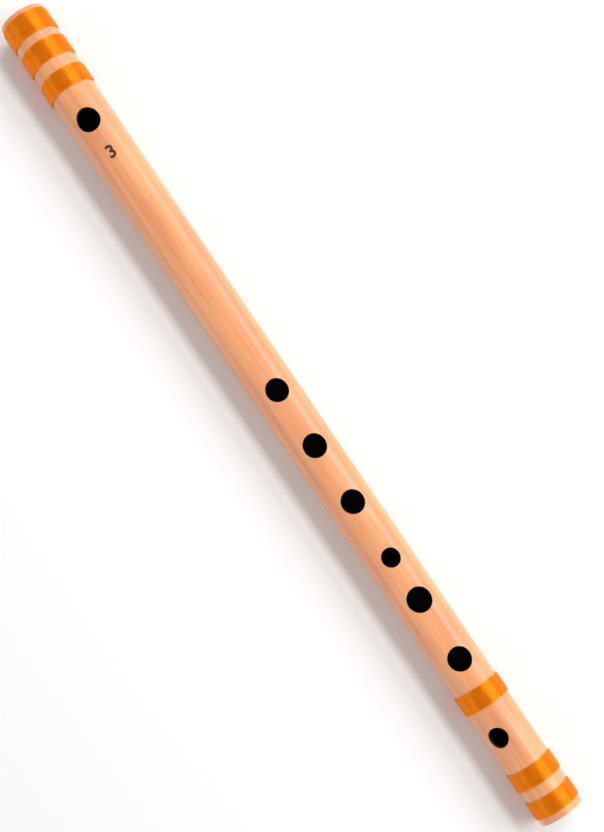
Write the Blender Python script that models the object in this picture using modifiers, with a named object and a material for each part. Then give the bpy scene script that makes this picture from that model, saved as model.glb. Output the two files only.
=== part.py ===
"""Bansuri: a side-blown bamboo flute, lying on its thread bindings with its finger holes up.

Units are metres. +X runs along the tube from the blowing end to the foot, and +Z is up. The origin
is under the middle of the tube, on the surface that the bindings rest on.
"""

import math

import bmesh
import bpy
from mathutils import Vector

# Bamboo tube
TUBE_DIAMETER = 0.0196
WALL_THICKNESS = 0.0019
RIM_ROUNDING = 0.0003
TUBE_FACETS = 64
RIM_STEPS = 2

# Lengths along the tube, from the head end to the foot end
HEAD_LENGTH = 0.0524
BLOWING_HOLE_TO_FIRST_HOLE = 0.1336
FINGER_HOLE_SPACINGS = (0.0272, 0.0274, 0.0274, 0.0206, 0.0290)
LAST_HOLE_TO_VENT = 0.0354
FOOT_LENGTH = 0.0410

# Holes, which are burnt through one wall. A turn is counted about the tube from the line of finger
# holes on top, and is negative towards -Y.
BLOWING_HOLE_DIAMETER = 0.0098
BLOWING_HOLE_TURN = math.radians(-10.6)
FINGER_HOLE_DIAMETERS = (0.0096, 0.0099, 0.0099, 0.0080, 0.0105, 0.0101)
VENT_DIAMETER = 0.0086
VENT_TURN = math.radians(-32.0)
HOLE_FACETS = 32

# Cork stopper in the bore. Its face stands off the middle of the blowing hole, on the head side.
STOPPER_SETBACK = 0.0158
STOPPER_LENGTH = 0.0150
STOPPER_CLEARANCE = 0.0003
STOPPER_CHAMFER = 0.0005
STOPPER_FACETS = 48

# Thread bindings. Each is a core of close turns with its outer layer wound round it.
HEAD_BINDING_WIDTHS = (0.0097, 0.0089, 0.0086)
HEAD_BINDING_MARGIN = 0.0016
HEAD_BINDING_GAPS = (0.0035, 0.0051)
FOOT_BINDING_WIDTHS = (0.0085, 0.0089)
FOOT_BINDING_MARGIN = 0.0028
FOOT_BINDING_GAP = 0.0049
VENT_BINDING_WIDTH = 0.0092
BINDING_CLEARANCE = 0.0003
CORE_THICKNESS = 0.00035
CORE_EDGE_ROUNDING = 0.0002
THREAD_DIAMETER = 0.0006
THREAD_EDGE_MARGIN = 0.0003
THREAD_LOOPS = 5
LOOP_POINTS = 24
BASE_FLAT_DEPTH = 0.1 * THREAD_DIAMETER

TUBE_RADIUS = TUBE_DIAMETER / 2
BORE_RADIUS = TUBE_RADIUS - WALL_THICKNESS
TUBE_LENGTH = (
    HEAD_LENGTH
    + BLOWING_HOLE_TO_FIRST_HOLE
    + sum(FINGER_HOLE_SPACINGS)
    + LAST_HOLE_TO_VENT
    + FOOT_LENGTH
)
HEAD_END = -TUBE_LENGTH / 2
FOOT_END = TUBE_LENGTH / 2
BLOWING_HOLE_X = HEAD_END + HEAD_LENGTH
FIRST_HOLE_X = BLOWING_HOLE_X + BLOWING_HOLE_TO_FIRST_HOLE
VENT_X = FOOT_END - FOOT_LENGTH

# Radii to the flats of the facets, which are half a facet's turn from its corners
LOOP_FLAT = math.cos(math.pi / LOOP_POINTS)
CORE_INNER_RADIUS = TUBE_RADIUS + BINDING_CLEARANCE
CORE_OUTER_RADIUS = CORE_INNER_RADIUS + CORE_THICKNESS
THREAD_RADIUS = THREAD_DIAMETER / 2
AXIS_HEIGHT = CORE_OUTER_RADIUS + THREAD_RADIUS - BASE_FLAT_DEPTH

# A cutter runs this far past the face that it cuts.
CUTTER_OVERRUN = 0.002
WELD_DISTANCE = 0.00001
SMOOTH_ANGLE = math.radians(40)

ALONG_TUBE = (0, math.pi / 2, 0)


def clear_scene():
    for old in list(bpy.data.objects):
        bpy.data.objects.remove(old, do_unlink=True)


def new_collection(name):
    collection = bpy.data.collections.new(name)
    bpy.context.scene.collection.children.link(collection)
    return collection


def new_material(name, color, roughness):
    material = bpy.data.materials.new(name)
    material.use_nodes = True
    shader = material.node_tree.nodes["Principled BSDF"]
    shader.inputs["Base Color"].default_value = (*color, 1.0)
    shader.inputs["Roughness"].default_value = roughness
    shader.inputs["Metallic"].default_value = 0.0
    return material


def add_object(name, data, collection, location=(0, 0, 0), rotation=(0, 0, 0)):
    obj = bpy.data.objects.new(name, data)
    obj.location = location
    obj.rotation_euler = rotation
    collection.objects.link(obj)
    return obj


def make_helper(obj):
    obj.hide_render = True
    obj.display_type = "WIRE"
    return obj


def shade_round(mesh):
    mesh.shade_smooth()
    mesh.set_sharp_from_angle(angle=SMOOTH_ANGLE)


def closed_profile(name, points, turn=0.0):
    """A mesh of one closed outline of (radius, height) points, in a plane through the Z axis."""
    corners = [(r * math.cos(turn), r * math.sin(turn), z) for r, z in points]
    count = len(corners)
    edges = [(i, (i + 1) % count) for i in range(count)]
    mesh = bpy.data.meshes.new(name)
    mesh.from_pydata(corners, edges, [])
    return mesh


def add_screw(obj, steps):
    screw = obj.modifiers.new("turned", "SCREW")
    screw.steps = steps
    screw.render_steps = steps
    screw.use_merge_vertices = True
    screw.merge_threshold = WELD_DISTANCE
    screw.use_smooth_shade = True
    return screw


def add_boolean(obj, other, operation):
    boolean = obj.modifiers.new(f"{operation.lower()} {other.name}", "BOOLEAN")
    boolean.operation = operation
    boolean.object = other
    boolean.solver = "EXACT"


def rounded_corner(radius, height, rounding, first_angle, steps):
    """Points of a quarter circle about (radius, height), turning clockwise from first_angle."""
    points = []
    for i in range(steps + 1):
        angle = first_angle - math.pi / 2 * i / steps
        points.append((radius + rounding * math.cos(angle), height + rounding * math.sin(angle)))
    return points


def ring_outline(inner, outer, length, rounding, steps):
    """The outline of a turned ring whose four edges are rounded, running down its outer side."""
    top = length / 2 - rounding
    low_r = inner + rounding
    high_r = outer - rounding
    outline = rounded_corner(high_r, top, rounding, math.pi / 2, steps)
    outline += rounded_corner(high_r, -top, rounding, 0.0, steps)
    outline += rounded_corner(low_r, -top, rounding, -math.pi / 2, steps)
    outline += rounded_corner(low_r, top, rounding, -math.pi, steps)
    return outline


def add_hole_cutter(name, cutters, x, turn, diameter):
    """A round pin that stands on the tube's axis and points out through the wall."""
    depth = TUBE_RADIUS + CUTTER_OVERRUN
    mesh = bpy.data.meshes.new(name)
    shape = bmesh.new()
    bmesh.ops.create_cone(
        shape,
        cap_ends=True,
        segments=HOLE_FACETS,
        radius1=diameter / 2,
        radius2=diameter / 2,
        depth=depth,
    )
    bmesh.ops.translate(shape, verts=shape.verts, vec=(0, 0, depth / 2))
    shape.to_mesh(mesh)
    shape.free()
    return make_helper(add_object(name, mesh, cutters, (x, 0, AXIS_HEIGHT), (-turn, 0, 0)))


def hole_plan():
    """Name, place, turn and diameter of each hole, from the head to the foot."""
    holes = [("blowing_hole", BLOWING_HOLE_X, BLOWING_HOLE_TURN, BLOWING_HOLE_DIAMETER)]
    x = FIRST_HOLE_X
    for number, diameter in enumerate(FINGER_HOLE_DIAMETERS, start=1):
        holes.append((f"finger_hole_{number}", x, 0.0, diameter))
        if number <= len(FINGER_HOLE_SPACINGS):
            x += FINGER_HOLE_SPACINGS[number - 1]
    holes.append(("vent_hole", VENT_X, VENT_TURN, VENT_DIAMETER))
    return holes


def build_tube(parts, cutters):
    outline = ring_outline(BORE_RADIUS, TUBE_RADIUS, TUBE_LENGTH, RIM_ROUNDING, RIM_STEPS)
    mesh = closed_profile("bamboo_tube", outline)
    tube = add_object("bamboo_tube", mesh, parts, (0, 0, AXIS_HEIGHT), ALONG_TUBE)
    tube.data.materials.append(new_material("bamboo", (0.87, 0.46, 0.20), 0.35))
    add_screw(tube, TUBE_FACETS)
    for name, x, turn, diameter in hole_plan():
        cutter = add_hole_cutter(name, cutters, x, turn, diameter)
        add_boolean(tube, cutter, "DIFFERENCE")


def build_stopper(parts):
    mesh = bpy.data.meshes.new("cork_stopper")
    shape = bmesh.new()
    bmesh.ops.create_cone(
        shape,
        cap_ends=True,
        segments=STOPPER_FACETS,
        radius1=BORE_RADIUS - STOPPER_CLEARANCE,
        radius2=BORE_RADIUS - STOPPER_CLEARANCE,
        depth=STOPPER_LENGTH,
    )
    shape.to_mesh(mesh)
    shape.free()
    shade_round(mesh)
    x = BLOWING_HOLE_X - STOPPER_SETBACK - STOPPER_LENGTH / 2
    stopper = add_object("cork_stopper", mesh, parts, (x, 0, AXIS_HEIGHT), ALONG_TUBE)
    stopper.data.materials.append(new_material("cork", (0.51, 0.28, 0.13), 0.85))
    chamfer = stopper.modifiers.new("edges", "BEVEL")
    chamfer.width = STOPPER_CHAMFER
    chamfer.segments = 1
    chamfer.limit_method = "ANGLE"
    chamfer.angle_limit = math.radians(60)


def thread_path(width):
    """Points of the outer layer: an even helix about Z, whose segments lie flat on the core's facets."""
    radius = CORE_OUTER_RADIUS / LOOP_FLAT
    steps = THREAD_LOOPS * LOOP_POINTS
    run = width - THREAD_DIAMETER - 2 * THREAD_EDGE_MARGIN
    points = []
    for i in range(steps + 1):
        angle = 2 * math.pi * (i + 0.5) / LOOP_POINTS
        height = run * (i / steps - 0.5)
        points.append(Vector((radius * math.cos(angle), radius * math.sin(angle), height)))
    return points


def least_gap(points):
    """Least clear distance between a turn of the thread and the next one, measured on its points."""
    nearest = min(
        (points[i] - points[j]).length
        for i in range(len(points))
        for j in range(i + LOOP_POINTS // 2, len(points))
    )
    return nearest - THREAD_DIAMETER


def thread_mesh(name, cutters, points, location):
    """The thread as one unbroken closed tube, made a mesh so that it can be joined to its core."""
    curve = bpy.data.curves.new(name, "CURVE")
    curve.dimensions = "3D"
    curve.twist_mode = "Z_UP"
    curve.bevel_depth = THREAD_RADIUS
    curve.bevel_resolution = 1
    curve.use_fill_caps = True
    spline = curve.splines.new("POLY")
    spline.points.add(len(points) - 1)
    for spline_point, place in zip(spline.points, points):
        spline_point.co = (*place, 1.0)
    route = add_object(f"{name}_route", curve, cutters, location, ALONG_TUBE)
    bpy.context.view_layer.update()
    graph = bpy.context.evaluated_depsgraph_get()
    mesh = bpy.data.meshes.new_from_object(route.evaluated_get(graph))
    shape = bmesh.new()
    shape.from_mesh(mesh)
    bmesh.ops.remove_doubles(shape, verts=shape.verts, dist=WELD_DISTANCE)
    bmesh.ops.recalc_face_normals(shape, faces=shape.faces)
    shape.to_mesh(mesh)
    shape.free()
    thread = add_object(name, mesh, cutters)
    thread.matrix_world = route.matrix_world
    bpy.data.objects.remove(route, do_unlink=True)
    return make_helper(thread)


def build_binding(name, middle, width, material, parts, cutters, base):
    inner = CORE_INNER_RADIUS / LOOP_FLAT
    outer = CORE_OUTER_RADIUS / LOOP_FLAT
    top = width / 2
    edge = CORE_EDGE_ROUNDING
    outline = [
        (outer - edge, top),
        (outer, top - edge),
        (outer, edge - top),
        (outer - edge, -top),
        (inner, -top),
        (inner, top),
    ]
    location = (middle, 0, AXIS_HEIGHT)
    mesh = closed_profile(name, outline, math.pi / LOOP_POINTS)
    binding = add_object(name, mesh, parts, location, ALONG_TUBE)
    binding.data.materials.append(material)
    add_screw(binding, LOOP_POINTS)
    points = thread_path(width)
    thread = thread_mesh(f"{name}_thread", cutters, points, location)
    add_boolean(binding, thread, "UNION")
    add_boolean(binding, base, "DIFFERENCE")
    print(f"{name}: {THREAD_LOOPS} loops, least gap between turns {least_gap(points) * 1000:.2f} mm")


def binding_plan():
    """Name, middle and width of each binding, from the head to the foot."""
    plan = []
    edge = HEAD_END + HEAD_BINDING_MARGIN
    for number, width in enumerate(HEAD_BINDING_WIDTHS, start=1):
        plan.append((f"head_binding_{number}", edge + width / 2, width))
        if number <= len(HEAD_BINDING_GAPS):
            edge += width + HEAD_BINDING_GAPS[number - 1]
    last_hole_x = VENT_X - LAST_HOLE_TO_VENT
    plan.append(("foot_binding_1", (last_hole_x + VENT_X) / 2, VENT_BINDING_WIDTH))
    end_width, inner_width = FOOT_BINDING_WIDTHS
    edge = FOOT_END - FOOT_BINDING_MARGIN
    inner_edge = edge - end_width - FOOT_BINDING_GAP
    plan.append(("foot_binding_2", inner_edge - inner_width / 2, inner_width))
    plan.append(("foot_binding_3", edge - end_width / 2, end_width))
    return plan


def add_base_cutter(cutters):
    """The space under the surface that the flute lies on, which gives the bindings their flats."""
    mesh = bpy.data.meshes.new("base")
    shape = bmesh.new()
    bmesh.ops.create_cube(shape, size=1.0)
    size = Vector((TUBE_LENGTH, TUBE_DIAMETER, CUTTER_OVERRUN))
    bmesh.ops.scale(shape, verts=shape.verts, vec=size)
    bmesh.ops.translate(shape, verts=shape.verts, vec=(0, 0, -CUTTER_OVERRUN / 2))
    shape.to_mesh(mesh)
    shape.free()
    return make_helper(add_object("base", mesh, cutters))


def build_bansuri():
    clear_scene()
    parts = new_collection("bansuri")
    cutters = new_collection("bansuri_cutters")
    build_tube(parts, cutters)
    build_stopper(parts)
    base = add_base_cutter(cutters)
    thread_material = new_material("orange_thread", (0.91, 0.24, 0.01), 0.45)
    for name, middle, width in binding_plan():
        build_binding(name, middle, width, thread_material, parts, cutters, base)


build_bansuri()
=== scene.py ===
import math

import bpy
from mathutils import Matrix, Vector


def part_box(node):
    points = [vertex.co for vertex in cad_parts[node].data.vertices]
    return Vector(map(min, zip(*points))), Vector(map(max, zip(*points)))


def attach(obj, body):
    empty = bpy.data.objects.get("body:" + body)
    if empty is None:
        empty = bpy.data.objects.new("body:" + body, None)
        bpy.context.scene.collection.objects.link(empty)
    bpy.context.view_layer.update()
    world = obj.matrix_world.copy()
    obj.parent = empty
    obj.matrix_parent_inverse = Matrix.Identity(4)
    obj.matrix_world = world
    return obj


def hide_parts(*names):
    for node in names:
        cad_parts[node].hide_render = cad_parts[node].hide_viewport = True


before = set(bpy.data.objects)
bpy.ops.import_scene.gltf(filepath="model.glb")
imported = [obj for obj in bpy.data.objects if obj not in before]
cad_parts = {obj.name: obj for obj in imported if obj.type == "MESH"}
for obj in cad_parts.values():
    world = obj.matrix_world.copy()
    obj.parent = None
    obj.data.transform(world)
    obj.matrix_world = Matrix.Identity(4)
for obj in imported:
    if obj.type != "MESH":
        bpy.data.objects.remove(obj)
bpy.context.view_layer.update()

# the tube's place in the frame, in metres, with its axis along X
corkClearance = 0.0003  # between the cork and the bore, all round
tubeLow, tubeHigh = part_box("bamboo_tube")
corkLow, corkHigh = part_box("cork_stopper")
headEnd = tubeLow.x
footEnd = tubeHigh.x
tubeLength = footEnd - headEnd
tubeRadius = (tubeHigh.y - tubeLow.y) / 2
boreRadius = (corkHigh.y - corkLow.y) / 2 + corkClearance
axisHeight = (tubeLow.z + tubeHigh.z) / 2
alongTube = (0, math.pi / 2, 0)  # turns a cylinder from Z to X
bindingNames = sorted(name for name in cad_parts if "_binding_" in name)


def deselectAll():
    if bpy.context.object and bpy.context.object.mode != "OBJECT":
        bpy.ops.object.mode_set(mode="OBJECT")
    bpy.ops.object.select_all(action="DESELECT")


def makeActive(obj):
    deselectAll()
    obj.select_set(True)
    bpy.context.view_layer.objects.active = obj


def applyPlace(obj):
    makeActive(obj)
    bpy.ops.object.transform_apply(location=True, rotation=True, scale=True)


def applyModifiers(obj):
    makeActive(obj)
    for name in [modifier.name for modifier in obj.modifiers]:
        bpy.ops.object.modifier_apply(modifier=name)


def smoothBelow(obj, degrees):
    makeActive(obj)
    bpy.ops.object.shade_smooth_by_angle(angle=math.radians(degrees))


def dress(obj, material):
    obj.data.materials.clear()
    obj.data.materials.append(material)


# builds one material: each call adds a node, and links or sets its inputs
class NodeBench:
    def __init__(self, name):
        self.material = bpy.data.materials.new(name)
        self.material.use_nodes = True
        self.nodes = self.material.node_tree.nodes
        self.links = self.material.node_tree.links
        self.shader = self.nodes["Principled BSDF"]

    def feed(self, socket, value):
        if isinstance(value, bpy.types.NodeSocket):
            self.links.new(value, socket)
        else:
            socket.default_value = value

    def add(self, kind, settings=None, **inputs):
        node = self.nodes.new(kind)
        for key, value in (settings or {}).items():
            setattr(node, key, value)
        for key, value in inputs.items():
            self.feed(node.inputs[key.replace("_", " ")], value)
        return node

    def coords(self, scale, location=(0, 0, 0)):
        place = self.add("ShaderNodeTexCoord")
        mapping = self.add(
            "ShaderNodeMapping", Vector=place.outputs["Object"], Scale=scale, Location=location)
        return mapping.outputs["Vector"]

    def noise(self, scale, detail, location=(0, 0, 0)):
        vector = self.coords(scale, location)
        return self.add("ShaderNodeTexNoise", Vector=vector, Scale=1.0, Detail=detail).outputs["Fac"]

    def cells(self, scale):
        vector = self.coords(scale)
        return self.add("ShaderNodeTexVoronoi", Vector=vector, Scale=1.0).outputs["Distance"]

    def ramp(self, fac, stops):
        node = self.add("ShaderNodeValToRGB", Fac=fac)
        band = node.color_ramp
        while len(band.elements) < len(stops):
            band.elements.new(0.5)
        for element, (place, color) in zip(band.elements, stops):
            element.position = place
            element.color = (*color, 1.0)
        return node.outputs["Color"]

    # the Mix node has one set of sockets for each kind of data, so they go by number
    def mix(self, fac, first, second, blend="MIX"):
        node = self.add("ShaderNodeMix", {"data_type": "RGBA", "blend_type": blend})
        for socket, value in ((0, fac), (6, first), (7, second)):
            self.feed(node.inputs[socket], value)
        return node.outputs[2]

    def calculate(self, operation, first, second=0.0):
        node = self.add("ShaderNodeMath", {"operation": operation})
        self.feed(node.inputs[0], first)
        self.feed(node.inputs[1], second)
        return node.outputs[0]

    def remap(self, value, **limits):
        return self.add("ShaderNodeMapRange", Value=value, **limits).outputs[0]

    def bump(self, height, strength, distance, **below):
        node = self.add("ShaderNodeBump", Height=height, Strength=strength, Distance=distance, **below)
        return node.outputs["Normal"]

    def finish(self, **sockets):
        for key, value in sockets.items():
            self.feed(self.shader.inputs[key.replace("_", " ")], value)
        return self.material


bambooLook = {
    "pink": (0.80, 0.300, 0.140),
    "base": (0.90, 0.370, 0.150),
    "pale": (0.95, 0.455, 0.195),
    "fleck": (0.22, 0.085, 0.03),
    "fibreTints": [(0.30, (0.80, 0.74, 0.68)), (0.52, (1.0, 1.0, 1.0)), (0.75, (1.06, 1.05, 1.04))],
    "fibreScale": (22, 1500, 1500),  # long along the tube, fine across it
    "streakScale": (9.0, 330, 330),
    "cloudScale": (30, 110, 110),
    "fleckScale": (70, 420, 420),
    "fibreShare": 0.55,
    "cloudShare": 0.45,
    "fleckShare": 0.6,
    "fibreBump": (0.10, 0.0002),  # strength, depth in metres
    "streakBump": (0.12, 0.0006),
    "smoothest": 0.28,
    "roughest": 0.46,
    "specular": 0.45,
    "coat": 0.40,
    "coatRoughness": 0.11,
}


def bambooMaterial():
    look = bambooLook
    bench = NodeBench("lacqueredBamboo")
    fibres = bench.noise(look["fibreScale"], detail=4)
    streaks = bench.noise(look["streakScale"], detail=3, location=(3, 1, 7))
    clouds = bench.noise(look["cloudScale"], detail=3, location=(1, 5, 2))
    spots = bench.noise(look["fleckScale"], detail=2, location=(11, 3, 4))
    color = bench.ramp(streaks, [(0.3, look["pink"]), (0.5, look["base"]), (0.72, look["pale"])])
    mottle = bench.ramp(clouds, [(0.35, look["pink"]), (0.65, look["pale"])])
    color = bench.mix(look["cloudShare"], color, mottle)
    color = bench.mix(look["fibreShare"], color, bench.ramp(fibres, look["fibreTints"]), "MULTIPLY")
    rare = bench.ramp(spots, [(0.735, (0, 0, 0)), (0.80, (1, 1, 1))])
    color = bench.mix(bench.calculate("MULTIPLY", rare, look["fleckShare"]), color, (*look["fleck"], 1.0))
    normal = bench.bump(fibres, *look["fibreBump"])
    normal = bench.bump(streaks, *look["streakBump"], Normal=normal)
    rough = bench.remap(fibres, To_Min=look["smoothest"], To_Max=look["roughest"])
    return bench.finish(
        Base_Color=color, Roughness=rough, Normal=normal, Specular_IOR_Level=look["specular"],
        Coat_Weight=look["coat"], Coat_Roughness=look["coatRoughness"])


endGrainLook = {
    "bundles": [(0.10, (0.30, 0.15, 0.07)), (0.32, (0.86, 0.60, 0.36))],
    "grain": [(0.35, (0.66, 0.42, 0.22)), (0.65, (0.93, 0.74, 0.5))],
    "bundleScale": (200, 1900, 1900),
    "grainScale": (300, 2600, 2600),
    "grainShare": 0.35,
    "bump": (0.3, 0.0002),
    "roughness": 0.7,
}


def endGrainMaterial():
    look = endGrainLook
    bench = NodeBench("bambooEndGrain")
    grain = bench.noise(look["grainScale"], detail=3)
    dots = bench.ramp(bench.cells(look["bundleScale"]), look["bundles"])
    color = bench.mix(look["grainShare"], dots, bench.ramp(grain, look["grain"]))
    return bench.finish(
        Base_Color=color, Roughness=look["roughness"], Normal=bench.bump(grain, *look["bump"]))


# the near-black colour deep in the bore is painted shade for the tube's unlit inside; only near the open
# ends is it the bamboo's own tan
boreLook = {
    "bare": [(0.3, (0.20, 0.10, 0.045)), (0.6, (0.42, 0.24, 0.11)), (0.8, (0.55, 0.34, 0.17))],
    "paintedShade": [(0.3, (0.004, 0.003, 0.002)), (0.8, (0.014, 0.008, 0.005))],
    "pithScale": (25, 900, 900),
    "paintedShadeFrom": 0.030,  # how far in from the ends the painted shade inside the bore is full
    "bareFrom": 0.002,
    "bump": (0.4, 0.0003),
    "roughness": 0.8,
}


def boreMaterial():
    look = boreLook
    bench = NodeBench("bambooBore")
    pith = bench.noise(look["pithScale"], detail=4)
    bare = bench.ramp(pith, look["bare"])
    paintedShade = bench.ramp(pith, look["paintedShade"])
    # painted shade: the bore goes from tan at the ends to near black towards the middle, where the inside
    # of the tube lies in shade
    along = bench.add("ShaderNodeSeparateXYZ", Vector=bench.coords((1, 1, 1))).outputs["X"]
    fromMiddle = bench.calculate("ABSOLUTE", along)
    nearEnd = bench.remap(
        fromMiddle, From_Min=footEnd - look["paintedShadeFrom"], From_Max=footEnd - look["bareFrom"])
    color = bench.mix(nearEnd, paintedShade, bare)
    return bench.finish(
        Base_Color=color, Roughness=look["roughness"], Normal=bench.bump(pith, *look["bump"]))


burntLook = {
    "char": [(0.35, (0.012, 0.006, 0.004)), (0.7, (0.060, 0.028, 0.014))],
    "sootScale": (1400, 1400, 1400),
    "bump": (0.5, 0.0002),
    "roughness": 0.75,
}


def burntMaterial():
    look = burntLook
    bench = NodeBench("burntHoleWall")
    soot = bench.noise(look["sootScale"], detail=4)
    color = bench.ramp(soot, look["char"])
    return bench.finish(
        Base_Color=color, Roughness=look["roughness"], Normal=bench.bump(soot, *look["bump"]))


silkLook = {
    "dyes": [(0.3, (1.0, 0.245, 0.0015)), (0.7, (1.0, 0.300, 0.003))],
    "plies": [(0.3, (0.72, 0.66, 0.6)), (0.6, (1, 1, 1))],
    "dyeScale": (180, 180, 180),
    "plyScale": (500, 1200, 1200),
    "plyShare": 0.4,
    "bump": (0.2, 0.0001),
    "roughness": 0.30,
    "metallic": 0.55,  # keeps the shine orange, as dyed silk has it
    "specular": 0.6,
    "specularTint": (1.0, 0.85, 0.25, 1.0),
}


def silkMaterial():
    look = silkLook
    bench = NodeBench("orangeSilk")
    plies = bench.noise(look["plyScale"], detail=3)
    dye = bench.noise(look["dyeScale"], detail=2, location=(2, 2, 9))
    color = bench.ramp(dye, look["dyes"])
    color = bench.mix(look["plyShare"], color, bench.ramp(plies, look["plies"]), "MULTIPLY")
    return bench.finish(
        Base_Color=color, Roughness=look["roughness"], Normal=bench.bump(plies, *look["bump"]),
        Metallic=look["metallic"], Specular_IOR_Level=look["specular"], Specular_Tint=look["specularTint"])


corkLook = {
    "grains": [(0.1, (0.62, 0.37, 0.18)), (0.6, (0.40, 0.21, 0.09))],
    "pore": (0.10, 0.045, 0.02),
    "poreEdge": (0.62, 0.70),
    "grainScale": (900, 900, 900),
    "poreScale": (700, 700, 700),
    "bump": (0.5, 0.0004),
    "roughness": 0.9,
}


def corkMaterial():
    look = corkLook
    bench = NodeBench("corkStopper")
    pores = bench.noise(look["poreScale"], detail=4, location=(4, 4, 4))
    color = bench.ramp(bench.cells(look["grainScale"]), look["grains"])
    poreStart, poreFull = look["poreEdge"]
    poreMask = bench.ramp(pores, [(poreStart, (0, 0, 0)), (poreFull, (1, 1, 1))])
    color = bench.mix(poreMask, color, (*look["pore"], 1.0))
    return bench.finish(
        Base_Color=color, Roughness=look["roughness"], Normal=bench.bump(pores, *look["bump"]))


inkLook = {
    "ink": [(0.3, (0.02, 0.008, 0.006)), (0.75, (0.075, 0.032, 0.020))],
    "wearScale": (2500, 2500, 2500),
    "bump": (0.2, 0.00005),
    "roughness": 0.5,
}


def inkMaterial():
    look = inkLook
    bench = NodeBench("stampInk")
    wear = bench.noise(look["wearScale"], detail=3)
    color = bench.ramp(wear, look["ink"])
    return bench.finish(
        Base_Color=color, Roughness=look["roughness"], Normal=bench.bump(wear, *look["bump"]))


# each hole: distance from the head end, degrees from the top (minus is towards -Y), diameter
holes = {
    "blowing": (0.0524, -10.6, 0.0098),
    "finger1": (0.1860, 0.0, 0.0096),
    "finger2": (0.2132, 0.0, 0.0099),
    "finger3": (0.2406, 0.0, 0.0099),
    "finger4": (0.2680, 0.0, 0.0080),
    "finger5": (0.2886, 0.0, 0.0105),
    "finger6": (0.3176, 0.0, 0.0101),
    "vent": (0.3530, -32.0, 0.0086),
}
tubeShape = {
    "facets": 160,
    "holeFacets": 72,
    "holeStretch": 1.05,  # burnt holes are a little longer along the tube
    "edgeWidth": 0.00022,
    "edgeSteps": 2,
    "edgeAngle": 35,
    "smoothAngle": 32,
    "overrun": 0.005,  # how far the bore's cutter passes each end
    "holeOverrun": 0.003,
}


def addCutters():
    shape = tubeShape
    bpy.ops.mesh.primitive_cylinder_add(
        vertices=shape["facets"], radius=boreRadius, depth=tubeLength + 2 * shape["overrun"],
        location=(0, 0, axisHeight), rotation=alongTube)
    cutters = [bpy.context.object]
    depth = tubeRadius + shape["holeOverrun"]
    for distance, turn, diameter in holes.values():
        tilt = -math.radians(turn)
        outwards = Vector((0, -math.sin(tilt), math.cos(tilt)))
        onAxis = Vector((headEnd + distance, 0, axisHeight))
        bpy.ops.mesh.primitive_cylinder_add(
            vertices=shape["holeFacets"], radius=diameter / 2, depth=depth,
            location=onAxis + outwards * depth / 2, rotation=(tilt, 0, 0))
        bpy.context.object.scale.x = shape["holeStretch"]
        cutters.append(bpy.context.object)
    return cutters


faceSorting = {
    "endNormal": 0.7,  # a face this much along X, close to an end, is end grain
    "endDepth": 0.001,
    "skinNormal": 0.6,  # a face this much outwards or inwards is skin or bore
    "rimDepth": 0.003,  # slanting faces closer to an end than this are its rounded rim
}


def sortTubeFaces(tube):
    sorting = faceSorting
    skin, endGrain, bore, burnt = range(4)
    for face in tube.data.polygons:
        centre = face.center - Vector((0, 0, axisHeight))
        outward = face.normal.dot(Vector((0, centre.y, centre.z)).normalized())
        fromEnd = min(centre.x - headEnd, footEnd - centre.x)
        if abs(face.normal.x) > sorting["endNormal"] and fromEnd < sorting["endDepth"]:
            face.material_index = endGrain
        elif outward < -sorting["skinNormal"]:
            face.material_index = bore
        elif outward > sorting["skinNormal"] or fromEnd <= sorting["rimDepth"]:
            face.material_index = skin
        else:
            face.material_index = burnt


def makeTube():
    shape = tubeShape
    deselectAll()
    bpy.ops.mesh.primitive_cylinder_add(
        vertices=shape["facets"], radius=tubeRadius, depth=tubeLength,
        location=(0, 0, axisHeight), rotation=alongTube)
    tube = bpy.context.object
    tube.name = "bambooTube"
    cutters = addCutters()
    for number, cutter in enumerate(cutters):
        cut = tube.modifiers.new(f"cut{number}", "BOOLEAN")
        cut.operation = "DIFFERENCE"
        cut.solver = "EXACT"
        cut.object = cutter
    applyModifiers(tube)
    for cutter in cutters:
        bpy.data.objects.remove(cutter, do_unlink=True)
    applyPlace(tube)
    edge = tube.modifiers.new("edges", "BEVEL")
    edge.width = shape["edgeWidth"]
    edge.segments = shape["edgeSteps"]
    edge.limit_method = "ANGLE"
    edge.angle_limit = math.radians(shape["edgeAngle"])
    applyModifiers(tube)
    smoothBelow(tube, shape["smoothAngle"])
    for material in (bambooMaterial(), endGrainMaterial(), boreMaterial(), burntMaterial()):
        tube.data.materials.append(material)
    sortTubeFaces(tube)
    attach(tube, "flute")
    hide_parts("bamboo_tube")
    print("tube made:", len(tube.data.polygons), "faces")


bindingShape = {
    "thread": 0.00036,
    "pitch": 0.97,  # of the thread's own width, so that the turns lie close
    "proud": 0.00072,  # height of the winding over the bamboo
    "edgeDrop": 0.00030,  # how much lower the outermost turns lie
    "edgePower": 7,
    "pointsPerTurn": 72,
    "threadRoundness": 2,
    "coreFacets": 96,
    "coreLift": 0.00012,
    "coreWall": 0.0003,
    "coreMargin": 0.0003,  # the core stops this short of each side
    "coreSmoothAngle": 40,
}


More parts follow.
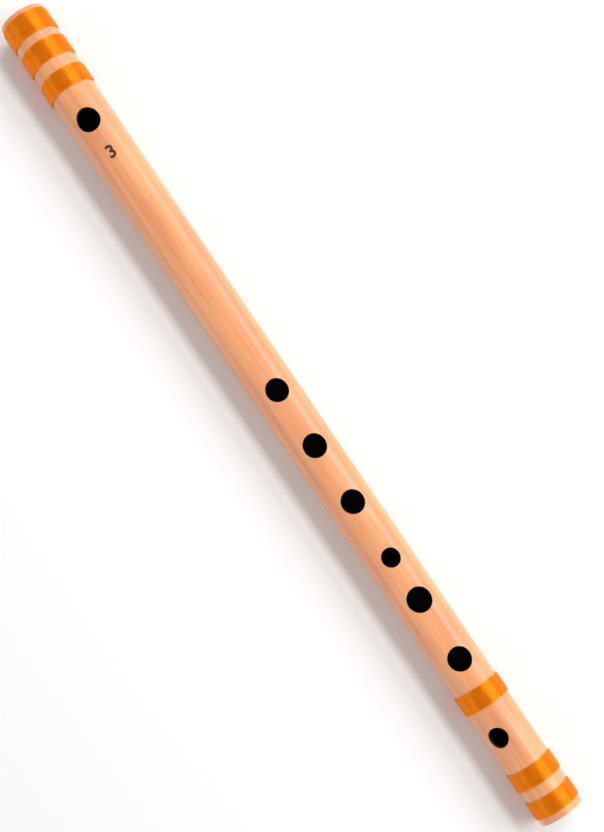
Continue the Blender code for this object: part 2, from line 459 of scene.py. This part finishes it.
def windThread(node, middle, width):
    shape = bindingShape
    thread = shape["thread"]
    run = width - thread
    turns = int(run / (thread * shape["pitch"]))
    count = turns * shape["pointsPerTurn"]
    curve = bpy.data.curves.new(node, "CURVE")
    curve.dimensions = "3D"
    curve.bevel_depth = thread / 2
    curve.bevel_resolution = shape["threadRoundness"]
    curve.use_fill_caps = True
    spline = curve.splines.new("POLY")
    spline.points.add(count)
    for number, point in enumerate(spline.points):
        across = 2 * number / count - 1
        drop = shape["edgeDrop"] * abs(across) ** shape["edgePower"]
        radius = tubeRadius + shape["proud"] - thread / 2 - drop
        angle = 2 * math.pi * number / shape["pointsPerTurn"]
        y = -radius * math.sin(angle)
        z = axisHeight - radius * math.cos(angle)
        point.co = (middle + run * across / 2, y, z, 1)
    winding = bpy.data.objects.new(node + "Thread", curve)
    bpy.context.scene.collection.objects.link(winding)
    makeActive(winding)
    bpy.ops.object.convert(target="MESH")
    bpy.ops.object.shade_smooth()
    print(node, "wound with", turns, "turns")
    return bpy.context.object


# the ring under the thread, which closes the gaps between its turns
def makeCore(middle, width):
    shape = bindingShape
    bpy.ops.mesh.primitive_cylinder_add(
        vertices=shape["coreFacets"], radius=tubeRadius + shape["coreLift"],
        depth=width - 2 * shape["coreMargin"], end_fill_type="NOTHING",
        location=(middle, 0, axisHeight), rotation=alongTube)
    core = bpy.context.object
    wall = core.modifiers.new("wall", "SOLIDIFY")
    wall.thickness = shape["coreWall"]
    wall.offset = 1.0
    applyModifiers(core)
    smoothBelow(core, shape["coreSmoothAngle"])
    applyPlace(core)
    return core


def makeBinding(node, silk):
    low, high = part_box(node)
    width = high.x - low.x
    middle = (high.x + low.x) / 2
    binding = windThread(node, middle, width)
    core = makeCore(middle, width)
    makeActive(binding)
    core.select_set(True)
    bpy.ops.object.join()
    binding.name = node.replace("_binding_", "Binding")
    dress(binding, silk)
    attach(binding, "flute")
    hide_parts(node)


markShape = {
    "text": "3",
    "textSize": 0.00756,
    "boldness": 0.0002,
    "thickness": 0.00001,
    "fromHead": 0.0682,
    "turn": -7.8,
    "lift": 0.00003,
    "weld": 0.000001,
    "cuts": 5,  # enough faces to follow the tube's curve
}


def makeMark():
    shape = markShape
    deselectAll()
    bpy.ops.object.text_add(location=(0, 0, 0))
    text = bpy.context.object
    text.data.body = shape["text"]
    text.data.size = shape["textSize"]
    text.data.align_x = "CENTER"
    text.data.align_y = "CENTER"
    text.data.extrude = shape["thickness"]
    text.data.offset = shape["boldness"]
    bpy.ops.object.convert(target="MESH")
    mark = bpy.context.object
    mark.name = "pitchNumber"
    mark.rotation_euler = (0, 0, math.pi / 2)
    applyPlace(mark)
    bpy.ops.object.mode_set(mode="EDIT")
    bpy.ops.mesh.select_all(action="SELECT")
    bpy.ops.mesh.remove_doubles(threshold=shape["weld"])
    bpy.ops.mesh.quads_convert_to_tris()
    bpy.ops.mesh.subdivide(number_cuts=shape["cuts"])
    bpy.ops.object.mode_set(mode="OBJECT")
    wrapMark(mark)
    dress(mark, inkMaterial())
    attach(mark, "flute")
    print("mark stamped")


# bends the flat number round the tube
def wrapMark(mark):
    shape = markShape
    alongs = [vertex.co.x for vertex in mark.data.vertices]
    acrosses = [vertex.co.y for vertex in mark.data.vertices]
    middleAlong = (min(alongs) + max(alongs)) / 2
    middleAcross = (min(acrosses) + max(acrosses)) / 2
    for vertex in mark.data.vertices:
        turn = math.radians(shape["turn"]) + (vertex.co.y - middleAcross) / tubeRadius
        radius = tubeRadius + shape["lift"] + vertex.co.z
        x = headEnd + shape["fromHead"] + vertex.co.x - middleAlong
        vertex.co = (x, radius * math.sin(turn), axisHeight + radius * math.cos(turn))


# the photo looks down on the flute, tilted a little about the tube's axis
viewTilt = math.radians(5.4)
along = Vector((1, 0, 0))
across = Vector((0, math.cos(viewTilt), math.sin(viewTilt)))
towardsCamera = Vector((0, -math.sin(viewTilt), math.cos(viewTilt)))

cameraSet = {
    "distance": 0.68,
    "towardsFoot": 0.06,  # stands this far along the tube, and the lens is shifted back by as much
    "pixelsPerMetre": 2435.0,  # at the tube's axis
    "imageHeight": 832,
    "sensor": 36.0,
    "alongRight": 0.56212,  # how far the tube's direction goes right and down in the picture
    "alongDown": 0.82706,
    "aimAlong": 0.0025,
    "aimAcross": 0.0033,
    "clipStart": 0.01,
}
aim = Vector((cameraSet["aimAlong"], 0, axisHeight)) + across * cameraSet["aimAcross"]


def addTurned(name, data, place, axes):
    obj = bpy.data.objects.new(name, data)
    bpy.context.scene.collection.objects.link(obj)
    obj.matrix_world = Matrix.Translation(place) @ Matrix(axes).transposed().to_4x4()
    return obj


def makeCamera():
    settings = cameraSet
    right = along * settings["alongRight"] + across * settings["alongDown"]
    up = -along * settings["alongDown"] + across * settings["alongRight"]
    place = aim + towardsCamera * settings["distance"] + along * settings["towardsFoot"]
    lens = bpy.data.cameras.new("camera")
    heightsPerMetre = settings["pixelsPerMetre"] / settings["imageHeight"]
    lens.sensor_width = settings["sensor"]
    lens.lens = heightsPerMetre * settings["distance"] * settings["sensor"]
    lens.shift_x = -settings["towardsFoot"] * settings["alongRight"] * heightsPerMetre
    lens.shift_y = settings["towardsFoot"] * settings["alongDown"] * heightsPerMetre
    lens.clip_start = settings["clipStart"]
    bpy.context.scene.camera = addTurned("camera", lens, place, (right, up, towardsCamera))


floorSet = {
    "size": 12,
    "height": -0.0002,
    "color": (0.96, 0.96, 0.96, 1),
    "roughness": 0.9,
    "specular": 0.1,
}


def makeFloor():
    settings = floorSet
    deselectAll()
    bpy.ops.mesh.primitive_plane_add(size=settings["size"], location=(0, 0, settings["height"]))
    floor = bpy.context.object
    floor.name = "floor"
    bench = NodeBench("paleFloor")
    paper = bench.finish(
        Base_Color=settings["color"], Roughness=settings["roughness"],
        Specular_IOR_Level=settings["specular"])
    floor.data.materials.append(paper)


# angle is from the camera's direction, in degrees, and plus is towards +Y
lightSet = {
    "keySoftbox": {"angle": 36, "distance": 1.0, "length": 1.8, "width": 0.20, "watts": 6.0},
    "sideSoftbox": {"angle": 58, "distance": 1.0, "length": 1.8, "width": 0.40, "watts": 7.0},
    "fillSoftbox": {"angle": -60, "distance": 1.2, "length": 1.8, "width": 0.5, "watts": 3.2},
}
skyStrength = 0.42


def makeLights():
    for name, settings in lightSet.items():
        turned = math.radians(settings["angle"])
        back = towardsCamera * math.cos(turned) + across * math.sin(turned)
        lamp = bpy.data.lights.new(name, "AREA")
        lamp.shape = "RECTANGLE"
        lamp.size = settings["length"]
        lamp.size_y = settings["width"]
        lamp.energy = settings["watts"]
        addTurned(name, lamp, aim + back * settings["distance"], (along, back.cross(along), back))
    world = bpy.data.worlds.new("studio")
    bpy.context.scene.world = world
    world.use_nodes = True
    sky = world.node_tree.nodes["Background"]
    sky.inputs["Color"].default_value = (1, 1, 1, 1)
    sky.inputs["Strength"].default_value = skyStrength
    bpy.context.scene.view_settings.view_transform = "Standard"


makeCamera()
makeFloor()
makeLights()
print("studio set")

makeTube()
silk = silkMaterial()
for bindingName in bindingNames:
    makeBinding(bindingName, silk)
dress(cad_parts["cork_stopper"], corkMaterial())
print("cork dressed")
makeMark()

deselectAll()
